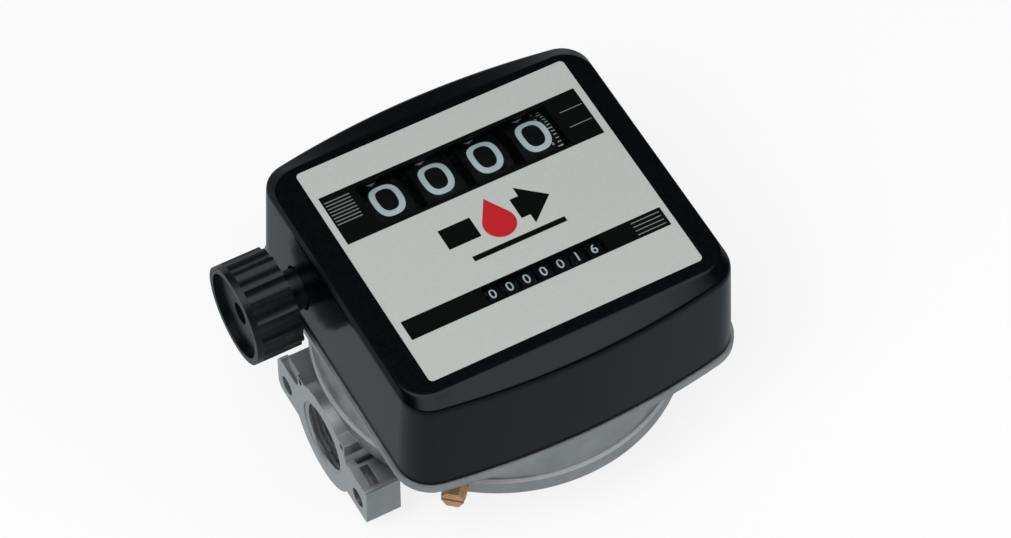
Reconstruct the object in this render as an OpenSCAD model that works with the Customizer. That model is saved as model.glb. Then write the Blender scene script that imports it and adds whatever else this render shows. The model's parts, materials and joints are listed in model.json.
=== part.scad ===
// Mechanical flow meter with a nutating disc chamber, a four wheel trip counter with a reset knob,
// and a seven wheel totaliser. Origin at the centre of the flat base face, Z up, ports along X.

/* [Meter body] */
// Height of the rim band
rim_h = 9.6; // [8:0.1:11]
// Half the distance between the two port faces
port_face_x = 84.3; // [83:0.1:90]
// Radius of the threaded port, at the root of the thread
port_r = 16.62; // [13:0.01:17]
// Length of the port thread
port_thread_l = 16; // [12:0.5:16]
// Radius of the flange boss round the port
port_boss_r = 24.8; // [22:0.1:25]
// Distance of each flange bolt hole from the port axis
flange_bolt_y = 32.3; // [30:0.1:34]
// Drop of the flange bolt holes below the port axis
flange_bolt_drop = 2.5; // [0:0.5:4]
// Radius of the flange bolt holes
flange_bolt_r = 4.5; // [3:0.1:5]

/* [Measuring chamber] */
// Gap between the chamber shells and the wall of the bowl
chamber_gap = 9.1; // [7:0.1:13]
// Tilt of the nutating disc in degrees
disc_tilt = 12; // [9:0.5:13]
// Radius of the ball at the middle of the disc
ball_r = 12; // [10:0.5:13]
// Thickness of the disc
disc_t = 3; // [2:0.1:3.6]
// Thickness of the chamber shells
chamber_wall = 3; // [2.5:0.1:3.5]

/* [Body cover] */
// Height of the drum wall between the rim and the square flange
drum_h = 17.4; // [15:0.1:20]
// Thickness of the square flange
flange_t = 4; // [3:0.1:6]
// Edge of the square flange round the foot of the register cover
flange_edge = 1.2; // [1:0.1:2.5]
// Thickness of the tray floor over the body
floor_t = 3.9; // [3:0.1:4.2]

/* [Register cover] */
// Height of the register cover
cover_h = 51.5; // [49:0.1:56]
// Half width of the cover at its foot
cover_half_x = 77.6; // [77:0.1:78.4]
// How far each side leans in from the foot to the shoulder
cover_draft = 2.3; // [1:0.1:3]
// Radius of the bowed front and back sides
bow_r = 361; // [300:1:500]
// Radius of the upright corners at the foot
corner_r = 16; // [12:0.5:20]
// Width of the sloping band at the front and back of the face
bevel_w = 12; // [9:0.5:13]
// Drop of the sloping band
bevel_h = 3.2; // [2:0.1:4]
// Wall thickness of the cover
cover_wall = 3; // [2:0.1:3.4]

/* [Face] */
// Edge of the face left bare beside the plate, on its narrow side
plate_edge_x = 9.7; // [8:0.1:12]
// Edge of the face left bare behind the plate, on its narrow side
plate_edge_y = 3.5; // [2:0.1:6]
// Thickness of the face plate
plate_t = 0.6; // [0.4:0.1:1]
// Width of the trip counter window
trip_window_w = 89; // [88:0.5:92]
// Height of the trip counter window
trip_window_h = 23; // [20:0.5:24]
// Width of the totaliser window
total_window_w = 55; // [54:0.5:58]
// Height of the totaliser window
total_window_h = 8.6; // [7:0.1:10]
// Thickness of the window panes
pane_t = 1.4; // [1:0.1:1.6]

/* [Counters] */
// Radius of the trip counter wheels
trip_r = 31; // [30:0.1:31.4]
// Distance from one trip wheel to the next
trip_pitch = 22.9; // [22.5:0.1:23.1]
// Width of the rim of a trip wheel
trip_rim_w = 18.2; // [17:0.1:18.6]
// Distance of the trip counter axis behind the middle
trip_y = 31; // [30:0.5:32]
// Room behind the trip wheels for their transfer pinions
trip_behind = 10.9; // [10:0.1:12]
// Half the distance between the rails of the counter frame
rail_y = 48.3; // [46:0.1:50]
// Radius of the totaliser wheels
total_r = 9.5; // [9.2:0.1:9.8]
// Distance from one totaliser wheel to the next
total_pitch = 7.83; // [7.7:0.01:7.9]
// Width of the rim of a totaliser wheel
total_rim_w = 6.3; // [6:0.1:6.4]
// Distance of the totaliser axis in front of the middle
total_y = 30; // [29:0.5:31]
// Radius of the reset shaft that carries the trip wheels
reset_shaft_r = 3; // [2.5:0.1:3.5]

/* [Reset knob] */
// Radius of the knob
knob_r = 22; // [18:0.5:24]
// Length of the knob's grip
knob_l = 21.5; // [16:0.5:24]
// Number of flutes round the grip
flute_count = 16; // [10:1:20]
// Depth of the flutes
flute_depth = 1.1; // [0.5:0.1:1.5]

/* [Hidden] */
$fn = 64;
eps = 0.6;
running = 0.05;
seat_gap = 0.02;
touch_gap = 0.2;

// Heights above the base, from the flange boss up
boss_above_base = 3.2;
boss_below_rim = 1.3;
port_z = port_boss_r + boss_above_base;
body_h = port_z + port_boss_r + boss_below_rim;
flange_bolt_z = port_z - flange_bolt_drop;
z_floor = body_h + floor_t;
z_flange = body_h + drum_h;
z_deck = z_flange + flange_t;
z_face = z_deck + cover_h;
z_plate = z_face - plate_t;
z_pane = z_plate - pane_t;

// Counter layout
wheel_gap = 2.5;
trip_z = z_face - trip_r - wheel_gap;
total_z = z_face - total_r - wheel_gap;
face_shift_x = 1.2;
face_shift_y = 1.4;
trip_count = 4;
total_count = 7;
trip_mid_x = 0.95;
total_mid_x = 5.1;
function trip_x(i) = trip_mid_x + ((trip_count - 1) / 2 - i) * trip_pitch;
function total_x(i) = total_mid_x + ((total_count - 1) / 2 - i) * total_pitch;

// Counter frame, and the cover and flange that take their length from the counters
plate_gap = 0.3;
frame_t = 3;
wheel_gear_t = 2.4;
frame_left = trip_x(trip_count - 1) - trip_pitch / 2 - plate_gap;
frame_right = trip_x(0) + trip_pitch / 2 + wheel_gear_t - plate_gap;
frame_out = frame_right + frame_t;
total_shaft_r = 1.5;
stub_r = 1.5;
rail_h = 3.5;
rail_w = 5;
rail_clear = 2;
cover_half_y = trip_y + trip_r + trip_behind + cover_wall + cover_draft;
flange_half_x = cover_half_x + flange_edge;
flange_half_y = cover_half_y + flange_edge;

// Radii of the round parts, from the tray that holds the counter frame
rim_step = 1.6;
drum_wall = 4.3;
tray_r = norm([frame_out, rail_y + rail_w / 2 + rail_clear]);
drum_r = tray_r + drum_wall;
rim_r = drum_r + rim_step;
screw_head_r = 4;
screw_head_h = 4;
screw_r = 2.5;
screw_hole_r = 2.6;
screw_head_clear = 0.4;
screw_ring_r = tray_r - screw_head_r - screw_head_clear;
cavity_r = screw_ring_r - 3 * screw_r;
chamber_r = cavity_r - chamber_gap - chamber_wall;
screw_count = 6;
screw_depth = 14;

// Gear rules: pressure angle, tooth height and thickness as shares of the module and the pitch
pressure_angle = 20;
addendum_share = 0.8;
dedendum_share = 1.15;
tooth_share = 0.8;
bare_share = 0.2;
drive_module = 0.8;
n_crank = 10;
n_reduction = 50;
n_pinion = 10;
n_crown = 40;
n_cross = 12;
n_wheel_idler = 24;
n_wheel = 60;
n_total_idler = 30;
n_total_pinion = 10;
n_total = 20;
n_ring = 20;
n_transfer = 6;
wheel_gear_drop = 1;
wheel_module = 2 * (trip_r - wheel_gear_drop) / n_wheel;
total_gear_drop = 1.5;
total_module = 2 * (total_r - total_gear_drop) / n_total;

// Angle of the involute in degrees, and half the angle of a tooth at radius r
function inv(a) = tan(a) * 180 / PI - a;
function tooth_half(n, rp, r) =
    let (rb = rp * cos(pressure_angle))
    90 / n * tooth_share + inv(pressure_angle) - (r > rb ? inv(acos(rb / r)) : 0);
function polar(r, a) = [r * cos(a), r * sin(a)];
function pitch_r(n, m) = n * m / 2;
function tip_r(n, m) = pitch_r(n, m) + addendum_share * m;
function root_r(n, m) = pitch_r(n, m) - dedendum_share * m;
// Points of a gear outline, a tooth on the first axis, with teeth only at every so many places
function gear_points(n, m, every = 1) =
    let (rp = pitch_r(n, m), rt = tip_r(n, m), rr = root_r(n, m), pitch = 360 / n)
    [for (i = [0:n - 1])
        let (base = max(rr, rp * cos(pressure_angle)))
        for (p = i % every == 0
            ? [[rr, -tooth_half(n, rp, base)], [base, -tooth_half(n, rp, base)], [rp, -tooth_half(n, rp, rp)],
               [rt, -tooth_half(n, rp, rt)], [rt, tooth_half(n, rp, rt)], [rp, tooth_half(n, rp, rp)],
               [base, tooth_half(n, rp, base)], [rr, tooth_half(n, rp, base)]]
            : [[rr, -pitch * bare_share], [rr, pitch * bare_share]])
        polar(p[0], i * pitch + p[1])];
// Turn of a gear that meshes with another at direction beta
function mate(beta, phase, n1, n2) = beta + 180 - 360 / n2 * (0.5 - (beta - phase) * n1 / 360);
function bearing(p, q) = atan2(q[1] - p[1], q[0] - p[0]);
// Point at distance rp from p and rq from q, to the left of the way from p to q
function meet(p, rp, q, rq) =
    let (d = norm(q - p), u = (q - p) / d)
    let (a = (rp * rp - rq * rq + d * d) / (2 * d), h = sqrt(rp * rp - a * a))
    p + a * u + h * [-u[1], u[0]];

// Drive train places, in the plane across the X axis as [y, z]
gear_clear = 1.2;
reduction_t = 2.6;
reduction_z = z_floor + gear_clear;
crown_face_w = 3.4;
pinion_rise = 2.2;
pinion_z = reduction_z + reduction_t + pinion_rise;
pinion_h = 7;
reduction_y = -pitch_r(n_crank, drive_module) - pitch_r(n_reduction, drive_module);
crown_r = pitch_r(n_crown, drive_module);
cross_at = [reduction_y, pinion_z + pinion_h / 2 + crown_r];
trip_at = [trip_y, trip_z];
total_at = [-total_y, total_z];
wheel_idler_at = meet(cross_at, pitch_r(n_cross + n_wheel_idler, wheel_module), trip_at,
    pitch_r(n_wheel + n_wheel_idler, wheel_module));
total_idler_at = meet(cross_at, pitch_r(n_cross + n_total_idler, wheel_module), total_at,
    pitch_r(n_total + n_total_pinion, total_module));

// Transfer pinions, on a rod beside each row of wheels
rod_gap = 0.8;
trip_rod_r = 1.5;
total_rod_r = 1;
trip_rod_turn = -15;
total_rod_turn = 0;
trip_rod_d = trip_r + rod_gap + trip_rod_r;
total_rod_d = total_r + rod_gap + total_rod_r;
trip_ring_module = 2 * trip_rod_d / (n_ring + n_transfer);
total_ring_module = 2 * total_rod_d / (n_ring + n_transfer);
trip_rod_at = trip_at + polar(trip_rod_d, trip_rod_turn);
total_rod_at = total_at + polar(total_rod_d, total_rod_turn);

// Draws along X: the child's own x and y lie on Y and Z, and its height on X
module along_x(x, at = [0, 0]) {
    translate([x, at[0], at[1]])
        rotate([90, 0, 90])
            children();
}

module tube(r_out, r_in, h) {
    difference() {
        cylinder(r = r_out, h = h);
        translate([0, 0, -eps])
            cylinder(r = r_in, h = h + 2 * eps);
    }
}

module ring_of(count, r, start = 0) {
    for (i = [0:count - 1])
        rotate(start + 360 * i / count)
            translate([r, 0, 0])
                children();
}

module gear(n, m, h, bore, phase = 0, every = 1) {
    difference() {
        rotate(phase)
            linear_extrude(h)
                polygon(gear_points(n, m, every));
        translate([0, 0, -eps])
            cylinder(r = bore, h = h + 2 * eps);
    }
}

module round_rect(w, l, r) {
    square([w - 2 * r, l], center = true);
    square([w, l - 2 * r], center = true);
    for (x = [-1, 1], y = [-1, 1])
        translate([x * (w / 2 - r), y * (l / 2 - r)])
            circle(r);
}

// Outline with straight sides, bowed front and back and round corners
corner_steps = 7;
bow_steps = 8;
function bowed_quarter(hx, hy, r, bow) =
    let (c = hy - bow, cx = hx - r, cy = c + sqrt(pow(bow - r, 2) - cx * cx), turn = atan2(cy - c, cx))
    concat(
        [for (i = [0:corner_steps]) [cx, cy] + polar(r, turn * i / corner_steps)],
        [for (i = [1:bow_steps - 1])
            [0, c] + polar(bow, turn + (90 - turn) * i / bow_steps)]);
function backwards(v) = [for (i = [len(v) - 1:-1:0]) v[i]];
function bowed(hx, hy, r, bow) =
    let (q = bowed_quarter(hx, hy, r, bow))
    concat(q, [[0, hy]], backwards([for (p = q) [-p[0], p[1]]]), [for (p = q) [-p[0], -p[1]]], [[0, -hy]],
        backwards([for (p = q) [p[0], -p[1]]]));

// Flange of a port: the outline faces -X, drawn in Y and Z
ear_t = 4.2;
ear_top = 13;
ear_drop = 9;
ear_end = 8.2;
ear_corner = 4.5;
block_t = 16;
block_in_y = 24.5;
block_corner = 1.5;
pocket_t = 3.5;
pocket_w = 10.5;
pocket_h = 7;
neck_half_y = 21;
neck_top = 20;
neck_reach = 37.3;
neck_end_x = port_face_x - neck_reach;
shelf_back = 1.2;
shelf_y = 31.5;
shelf_h = 14;
small_hole_r = 1.8;
small_hole_y = 18.8;
small_hole_drop = 2.6;
small_hole_l = 7;
throat_r = 14.5;
seat_bore_r = 16.2;
seat_bore_l = 2.8;

module ear(t) {
    along_x(-port_face_x, [0, flange_bolt_z])
        linear_extrude(t)
            difference() {
                translate([-flange_bolt_y / 2 - ear_end / 2, (ear_top - ear_drop) / 2])
                    round_rect(flange_bolt_y + ear_end, ear_top + ear_drop, ear_corner);
                translate([0, -port_z])
                    square([port_z, 3 * port_z]);
            }
}

// Solid block behind the front ear, with a pocket for the bolt head
module ear_block() {
    block_out_y = flange_bolt_y + ear_end;
    difference() {
        along_x(-port_face_x, [0, flange_bolt_z])
            linear_extrude(block_t)
                translate([-(block_out_y + block_in_y) / 2, (ear_top - ear_drop) / 2])
                    round_rect(block_out_y - block_in_y, ear_top + ear_drop, block_corner);
        translate([-port_face_x + ear_t, -flange_bolt_y - pocket_w / 2, flange_bolt_z + ear_top - pocket_h])
            cube([pocket_t, pocket_w, pocket_h + eps]);
    }
}

module port_neck() {
    reach = port_face_x - neck_end_x;
    along_x(-port_face_x, [0, port_z])
        cylinder(r = port_boss_r, h = reach);
    translate([-port_face_x, -neck_half_y, port_z])
        cube([reach, 2 * neck_half_y, neck_top]);
    translate([-port_face_x + shelf_back, 0, port_z + neck_top - shelf_h])
        cube([reach - shelf_back, shelf_y, shelf_h]);
    ear(ear_t);
    mirror([0, 1, 0])
        ear(ear_t);
    ear_block();
}

module port_cuts() {
    along_x(-port_face_x - eps, [0, port_z]) {
        cylinder(r = port_r, h = port_thread_l + eps);
        cylinder(r = seat_bore_r, h = port_thread_l + seat_bore_l + eps);
        cylinder(r = throat_r, h = port_face_x - neck_end_x);
    }
    for (y = [-1, 1]) {
        along_x(-port_face_x - eps, [y * flange_bolt_y, flange_bolt_z])
            cylinder(r = flange_bolt_r, h = block_t + 2 * eps);
        along_x(-port_face_x - eps, [y * small_hole_y, port_z + neck_top - small_hole_drop])
            cylinder(r = small_hole_r, h = small_hole_l);
    }
}

// Bowl with its rim, screw bosses, port flanges and the boss of the calibration screw
bowl_step = 12.9;
cone_over_port = 1;
cone_top = port_z + cone_over_port;
base_in = 33.9;
base_r = rim_r - base_in;
base_chamfer = 2;
cone_wall = 4.2;
base_floor = 6;
rim_chamfer = 1;
rim_slope_h = 4.8;
boss_r = 6;
boss_l = 6;
chamber_out_r = chamber_r + chamber_wall;
chamber_corner = 4.2;
support_in = 3.8;
support_r = chamber_out_r - chamber_corner - support_in;
support_t = 3;
seal_r = 1.1;
seal_squeeze = 0.055;
seal_side = 0.165;
seal_ring_r = cavity_r + 2 * seal_r;
calibration_turn = -131;
calibration_drop = 5.8;
calibration_z = body_h - calibration_drop;
calibration_r = 3.2;
chamber_cap = 3.6;
chamber_half_h = chamber_r * sin(disc_tilt) + disc_t / 2 + chamber_cap;
screw_turn = 30;

module bowl_profile() {
    r = rim_r - bowl_step;
    z = body_h - rim_h;
    polygon([[0, 0], [base_r - base_chamfer, 0], [base_r + base_chamfer / 2, base_chamfer], [r, cone_top],
        [r, z - rim_slope_h], [rim_r - rim_chamfer, z], [rim_r, z + rim_chamfer],
        [rim_r, body_h - rim_chamfer], [rim_r - rim_chamfer, body_h], [0, body_h]]);
}

module cavity_profile() {
    slope = (rim_r - bowl_step - base_r) / cone_top;
    low_r = base_r - cone_wall;
    polygon([[0, base_floor], [low_r + slope * base_floor, base_floor],
        [cavity_r, (cavity_r - low_r) / slope], [cavity_r, body_h + eps], [0, body_h + eps]]);
}

module meter_body() {
    color("#8f9497")
    difference() {
        union() {
            difference() {
                union() {
                    rotate_extrude()
                        bowl_profile();
                    port_neck();
                    mirror([1, 0, 0])
                        port_neck();
                    ring_of(screw_count, screw_ring_r, screw_turn)
                        translate([0, 0, body_h - rim_h - boss_l])
                            cylinder(r = boss_r, h = boss_l + eps);
                }
                rotate_extrude()
                    cavity_profile();
            }
            translate([0, 0, base_floor - eps])
                tube(support_r, support_r - support_t, port_z - chamber_half_h - base_floor + eps);
        }
        port_cuts();
        mirror([1, 0, 0])
            port_cuts();
        ring_of(screw_count, screw_ring_r, screw_turn)
            translate([0, 0, body_h - screw_depth])
                cylinder(r = screw_hole_r, h = screw_depth + eps);
        translate([0, 0, body_h - 2 * seal_r])
            rotate_extrude()
                translate([seal_ring_r - seal_r - seal_side, 0])
                    square([2 * (seal_r + seal_side), 2 * seal_r + eps]);
        rotate(calibration_turn)
            along_x(cavity_r - eps, [0, calibration_z])
                cylinder(r = calibration_r + seat_gap, h = rim_r);
    }
}

module body_seal() {
    color("#1c1c1c")
    translate([0, 0, body_h - seal_r])
        rotate_extrude()
            translate([seal_ring_r, 0])
                circle(seal_r - seal_squeeze);
}

module body_screws() {
    color("#b9bcbf")
    ring_of(screw_count, screw_ring_r, screw_turn)
        difference() {
            union() {
                translate([0, 0, z_floor])
                    cylinder(r = screw_head_r, h = screw_head_h);
                translate([0, 0, body_h - screw_depth + eps])
                    cylinder(r = screw_r, h = z_floor - body_h + screw_depth - eps / 2);
            }
            translate([0, 0, z_floor + screw_head_h / 2])
                cylinder(r = screw_r, h = screw_head_h, $fn = 6);
        }
}

// Body cover: drum wall, square flange, tray with its floor, spigot and the ring that clamps the chamber
spigot_h = 2.2;
flange_corner_r = corner_r + flange_half_x - cover_half_x;
spigot_t = 4;
spigot_clear = 0.2;
bush_r = 5;
hub_boss_r = 9;
hub_boss_rise = 0.6;
hub_boss_drop = 2.6;
lip_r = 6.5;
lip_h = 3;
crank_shaft_r = 2.5;
foot_screw_inset = 10.5;
foot_screw_r = 2;
foot_boss_r = 6.4;
foot_boss_h = 26;
foot_screw_l = 16;
frame_screw_r = 1.5;
frame_screw_x = 28;
frame_screw_depth = 3;
pin_depth = 2.4;

module frame_screw_places() {
    for (x = [-1, 1], y = [-1, 1])
        translate([x * frame_screw_x, y * rail_y, 0])
            children();
}

module foot_screw_places() {
    for (x = [-1, 1], y = [-1, 1])
        translate([x * (cover_half_x - foot_screw_inset), y * (cover_half_y - foot_screw_inset), 0])
            children();
}

module body_cover() {
    color("#9a9fa2")
    difference() {
        union() {
            translate([0, 0, body_h])
                cylinder(r = drum_r, h = drum_h + eps);
            translate([0, 0, z_flange])
                linear_extrude(flange_t)
                    polygon(bowed(flange_half_x, flange_half_y, flange_corner_r, bow_r));
            translate([0, 0, body_h - spigot_h])
                tube(cavity_r - spigot_clear, cavity_r - spigot_t, spigot_h + eps);
            translate([0, 0, port_z + chamber_half_h])
                tube(support_r, support_r - support_t, body_h - port_z - chamber_half_h + eps);
            translate([0, 0, body_h - hub_boss_drop])
                cylinder(r = hub_boss_r, h = hub_boss_drop + floor_t + hub_boss_rise);
        }
        difference() {
            translate([0, 0, z_floor])
                cylinder(r = tray_r, h = z_deck);
            cylinder(r = hub_boss_r, h = z_floor + hub_boss_rise);
        }
        translate([0, 0, body_h - hub_boss_drop - eps])
            cylinder(r = bush_r + seat_gap, h = z_deck);
        translate([0, 0, z_floor + hub_boss_rise - lip_h])
            cylinder(r = lip_r + seat_gap, h = z_deck);
        ring_of(screw_count, screw_ring_r, screw_turn)
            translate([0, 0, body_h - eps])
                cylinder(r = screw_hole_r, h = z_deck);
        foot_screw_places()
            translate([0, 0, z_flange - eps])
                cylinder(r = foot_screw_r + running, h = flange_t + 2 * eps);
        frame_screw_places()
            translate([0, 0, z_floor - frame_screw_depth])
                cylinder(r = frame_screw_r + running, h = frame_screw_depth + eps);
        translate([0, reduction_y, z_floor - pin_depth])
            cylinder(r = stub_r + seat_gap, h = pin_depth + eps);
    }
}

module shaft_bush() {
    color("#b08a4a")
    translate([0, 0, body_h - hub_boss_drop])
        tube(bush_r, crank_shaft_r + running, floor_t + hub_boss_drop + hub_boss_rise - lip_h);
}

module shaft_seal() {
    color("#1c1c1c")
    translate([0, 0, z_floor + hub_boss_rise - lip_h])
        tube(lip_r, crank_shaft_r + running, lip_h);
}

// Measuring chamber: two shells round a spherical space, cone faces above and below the disc
disc_clear = 0.35;
neck_r = 9.2;
spout_r = 11.4;
spout_in_r = 9.4;
spout_reach = 5;
partition_turn = 25;
partition_t = 2;
partition_in = 8;
inlet_turn = 52;
inlet_w = 20;
spout_seal_r = (throat_r - spout_r) / 2;

cone_drop = disc_clear + disc_t / 2 / cos(disc_tilt);

module chamber_half() {
    difference() {
        union() {
            rotate_extrude()
                polygon([[0, -chamber_half_h], [chamber_out_r - chamber_corner, -chamber_half_h],
                    [chamber_out_r, -chamber_half_h + chamber_corner], [chamber_out_r, 0], [0, 0]]);
            along_x(0, [0, 0])
                cylinder(r = spout_r, h = cavity_r + spout_reach);
        }
        difference() {
            sphere(chamber_r);
            rotate_extrude()
                polygon([[0, -chamber_r], [0, -cone_drop],
                    [chamber_out_r, -cone_drop - chamber_out_r * tan(disc_tilt)],
                    [chamber_out_r, -chamber_out_r]]);
        }
        sphere(ball_r + disc_clear);
        along_x(chamber_r / 2, [0, 0])
            cylinder(r = spout_in_r, h = cavity_r);
        rotate(inlet_turn)
            translate([chamber_r / 2, -inlet_w / 2, -spout_in_r])
                cube([chamber_r, inlet_w, 2 * spout_in_r]);
        rotate(partition_turn)
            translate([partition_in - seat_gap, -partition_t / 2 - seat_gap,
                    -chamber_half_h + 2 * disc_clear + chamber_wall / 2])
                cube([chamber_r + chamber_wall / 2 - partition_in + seat_gap, partition_t + 2 * seat_gap,
                    chamber_half_h]);
        translate([-cavity_r - 2 * spout_reach, -cavity_r, 0])
            cube([2 * cavity_r + 4 * spout_reach, 2 * cavity_r, chamber_out_r]);
    }
}

module chamber_lower() {
    color("#3b3d40")
    translate([0, 0, port_z])
        chamber_half();
}

module chamber_upper() {
    color("#46494c")
    translate([0, 0, port_z])
        mirror([0, 0, 1])
            difference() {
                chamber_half();
                translate([0, 0, -chamber_half_h - eps])
                    cylinder(r = neck_r, h = chamber_half_h);
            }
}

module partition_plate() {
    color("#c3c6c9")
    translate([0, 0, port_z])
        rotate(partition_turn)
            translate([0, partition_t / 2, 0])
                rotate([90, 0, 0])
                    linear_extrude(partition_t)
                        difference() {
                            intersection() {
                                circle(chamber_r + chamber_wall / 2 - seat_gap);
                                translate([partition_in, -chamber_half_h + chamber_wall])
                                    square([chamber_out_r, 2 * chamber_half_h - 2 * chamber_wall]);
                            }
                            circle(ball_r + 2 * disc_clear);
                        }
}

module chamber_seal() {
    color("#1c1c1c")
    along_x(cavity_r + spout_seal_r + seat_gap, [0, port_z])
        rotate_extrude()
            translate([spout_r + spout_seal_r, 0])
                circle(spout_seal_r - seat_gap);
}

// Disc that nutates in the chamber, with its ball, its driving pin and the slot for the partition
disc_pin_r = 2.2;
disc_pin_l = 20.5;
slot_clear = 0.95;

module nutating_disc() {
    color("#2f3133")
    translate([0, 0, port_z])
        rotate([0, disc_tilt, 0])
            difference() {
                union() {
                    intersection() {
                        sphere(chamber_r - disc_clear);
                        translate([0, 0, -disc_t / 2])
                            cylinder(r = chamber_r, h = disc_t);
                    }
                    sphere(ball_r);
                    cylinder(r = disc_pin_r, h = disc_pin_l);
                }
                rotate(partition_turn)
                    translate([ball_r - eps, -partition_t / 2 - slot_clear, -disc_t])
                        cube([chamber_r, partition_t + 2 * slot_clear, 2 * disc_t]);
            }
}

// Crank that the disc's pin turns, on the upright shaft through the tray floor
crank_r = 8.4;
crank_h = 5;
crank_top = body_h - hub_boss_drop - touch_gap;
crank_shaft_z = crank_top - eps;
pinion_seat_r = 1.8;
crank_top_l = reduction_z + reduction_t + touch_gap;

module crank() {
    color("#c3c6c9")
    difference() {
        union() {
            translate([0, 0, crank_top - crank_h])
                cylinder(r = crank_r, h = crank_h);
            translate([0, 0, crank_shaft_z])
                cylinder(r = crank_shaft_r, h = z_floor + hub_boss_rise - crank_shaft_z);
            translate([0, 0, crank_shaft_z])
                cylinder(r = pinion_seat_r, h = crank_top_l - crank_shaft_z);
        }
        translate([0, 0, port_z])
            rotate([0, disc_tilt, 0])
                cylinder(r = disc_pin_r + running, h = disc_pin_l + touch_gap);
    }
}

drive_pinion_z = z_floor + hub_boss_rise + seat_gap;

module drive_pinion() {
    color("#d8d4c4")
    translate([0, 0, drive_pinion_z])
        gear(n_crank, drive_module, crank_top_l - drive_pinion_z, pinion_seat_r + seat_gap);
}

// Inlet strainer and the snap ring that holds it in the inlet
strainer_t = 1.2;
strainer_hole_r = 1.1;
strainer_rings = 4;
strainer_step = 3.3;
snap_t = 1.5;
snap_w = 1.6;

module inlet_strainer() {
    color("#c8cbce")
    along_x(-port_face_x + port_thread_l + seat_bore_l - strainer_t, [0, port_z])
        difference() {
            cylinder(r = seat_bore_r - seat_gap, h = strainer_t);
            for (k = [0:strainer_rings])
                ring_of(max(1, 6 * k), k * strainer_step)
                    translate([0, 0, -eps])
                        cylinder(r = strainer_hole_r, h = strainer_t + 2 * eps, $fn = 24);
        }
}

module strainer_ring() {
    color("#8b8e91")
    along_x(-port_face_x + port_thread_l + seat_bore_l - strainer_t - snap_t, [0, port_z])
        tube(seat_bore_r - seat_gap, seat_bore_r - snap_w, snap_t);
}

// Calibration screw in the wall of the bowl, with its seal
calibration_flat = 9;
calibration_head = 6;
calibration_slot_w = 1.3;
calibration_slot_h = 1.6;
washer_t = 1.2;

module calibration_screw() {
    color("#c98f5e")
    rotate(calibration_turn) {
        along_x(cavity_r + eps, [0, calibration_z])
            cylinder(r = calibration_r - running + seat_gap, h = rim_r - cavity_r + washer_t);
        along_x(rim_r + washer_t + seat_gap, [0, calibration_z])
            difference() {
                cylinder(r = calibration_flat / sqrt(3), h = calibration_head, $fn = 6);
                translate([-calibration_flat, -calibration_slot_w / 2, calibration_head - calibration_slot_h])
                    cube([2 * calibration_flat, calibration_slot_w, calibration_head]);
            }
    }
}

module calibration_seal() {
    color("#9c6a3c")
    rotate(calibration_turn)
        along_x(rim_r, [0, calibration_z])
            tube(calibration_flat / sqrt(3), calibration_r + running, washer_t);
}

// Reduction gear on an upright pin in the tray floor, with the pinion that drives the crown gear
reduction_hub_r = 2.75;
reduction_hub_z = z_floor + touch_gap;
reduction_hole_r = 4.2;
reduction_hole_ring_r = 11.2;

module reduction_gear() {
    color("#d8d4c4")
    translate([0, reduction_y, reduction_z]) {
        difference() {
            union() {
                gear(n_reduction, drive_module, reduction_t, stub_r + running,
                    mate(-90, 0, n_crank, n_reduction));
                translate([0, 0, reduction_hub_z - reduction_z])
                    tube(reduction_hub_r, stub_r + running, pinion_z - reduction_hub_z + eps);
            }
            ring_of(6, reduction_hole_ring_r)
                translate([0, 0, -eps])
                    cylinder(r = reduction_hole_r, h = reduction_t + 2 * eps);
        }
        translate([0, 0, pinion_z - reduction_z])
            gear(n_pinion, drive_module, pinion_h, stub_r + running, 180 / n_pinion);
    }
}

// Fixed pins: the upright one in the tray, and the stubs on the right frame plate
idler_gap = 0.5;
wheel_gear_x = trip_x(0) + trip_rim_w / 2;
wheel_idler_x = wheel_gear_x + idler_gap;
wheel_idler_t = 2;
wheel_idler_phase = mate(bearing(cross_at, wheel_idler_at), 0, n_cross, n_wheel_idler);
total_gear_x = total_x(0) + total_rim_w / 2;
total_gear_t = 2.2;
total_idler_t = 2.4;
total_idler_rise = 3.2;
total_idler_x = total_gear_x + total_gear_t + total_idler_rise;

module gear_pins() {
    color("#c3c6c9") {
        translate([0, reduction_y, z_floor - pin_depth])
            cylinder(r = stub_r, h = pinion_z + pinion_h + touch_gap - z_floor + pin_depth);
        along_x(wheel_idler_x - touch_gap, wheel_idler_at)
            cylinder(r = stub_r, h = frame_out - wheel_idler_x + touch_gap);
        along_x(total_gear_x, total_idler_at)
            cylinder(r = stub_r, h = frame_out - total_gear_x);
    }
}

// Cross shaft with the crown gear and the long pinion that drives both counters
cross_shaft_r = 2;
crown_t = 2.4;
crown_hub_r = 5;
crown_hub_l = 9;
crown_x = pitch_r(n_pinion, drive_module) + dedendum_share * drive_module;
crown_edge = 0.5;
crown_tooth_share = 0.78;
crown_root_share = 0.5;
crown_hole_r = 3.5;
crown_hole_ring_r = 9.6;
cross_pinion_x = total_idler_x - touch_gap;

module cross_shaft() {
    color("#c3c6c9")
    along_x(frame_left - frame_t, cross_at)
        cylinder(r = cross_shaft_r, h = frame_out - frame_left + frame_t);
}

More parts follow.
